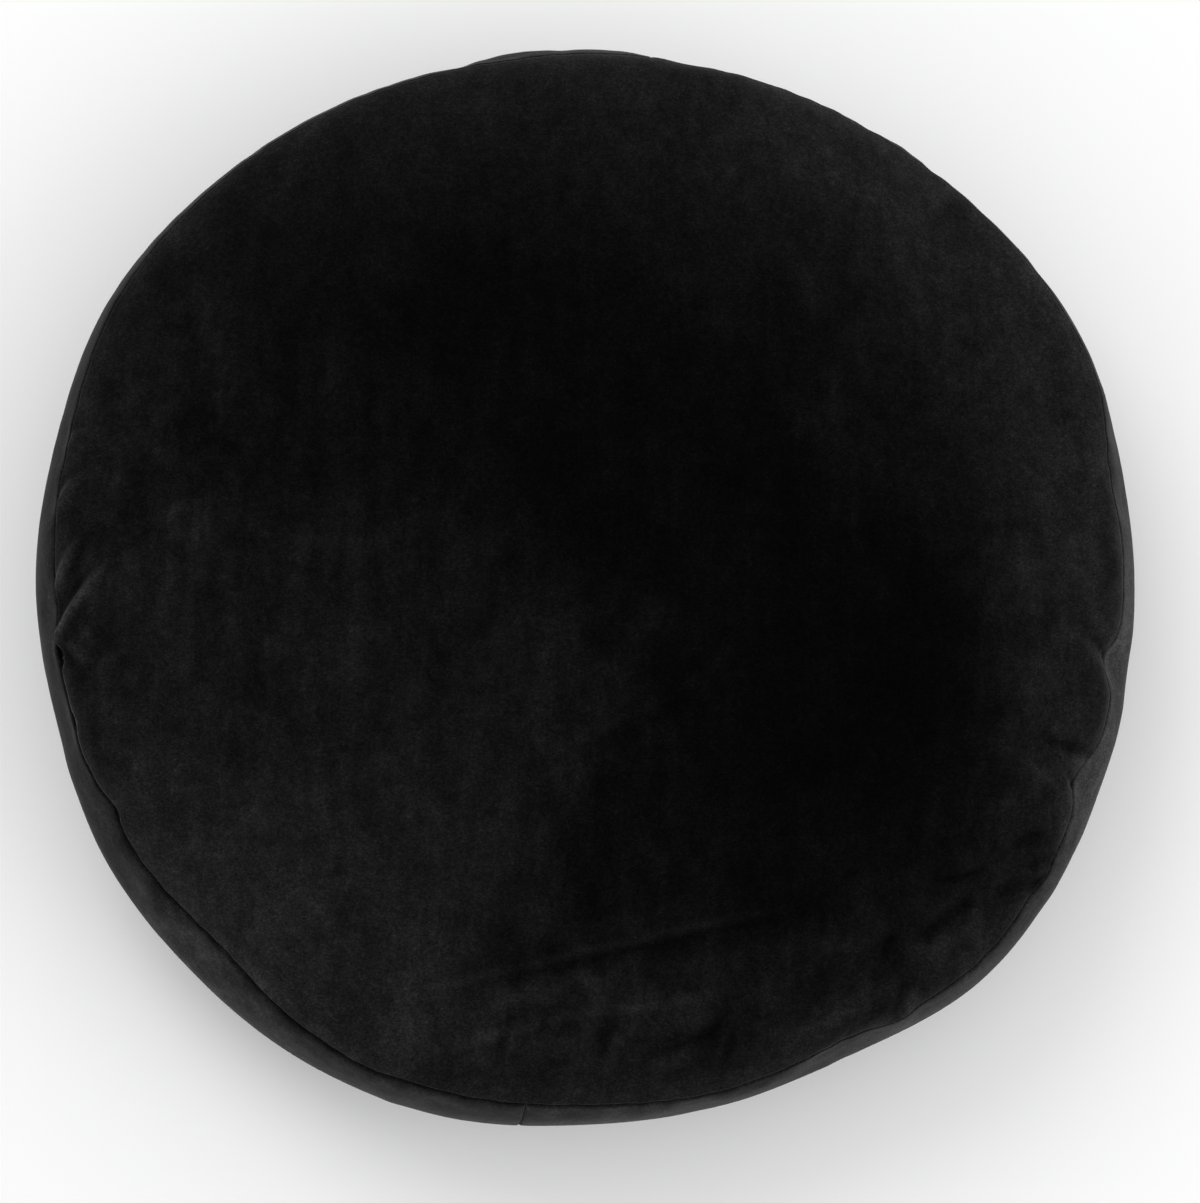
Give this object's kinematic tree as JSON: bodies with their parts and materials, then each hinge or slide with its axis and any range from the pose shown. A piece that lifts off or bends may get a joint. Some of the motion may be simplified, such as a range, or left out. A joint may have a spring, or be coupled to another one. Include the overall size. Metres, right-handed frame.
{
  "type": "round cushion",
  "caption": "Round box cushion in black velvet: crowned front and back panels, a bowed band between them and two plain sewn seams, lying on its back.",
  "frame": {"origin": "on the surface that the cushion lies on, under the middle of its outline", "axes": "+Z up through the front panel, +X to the right and +Y up as the front is seen from above"},
  "size_m": [0.4626, 0.4568, 0.1334],
  "materials": {
    "velvet": "black cut pile velvet, matt face on, with a soft grey sheen at grazing angles and a crushed, mottled nap"
  },
  "bodies": {
    "root": {"cushion": "velvet"}
  },
  "joints": []
}
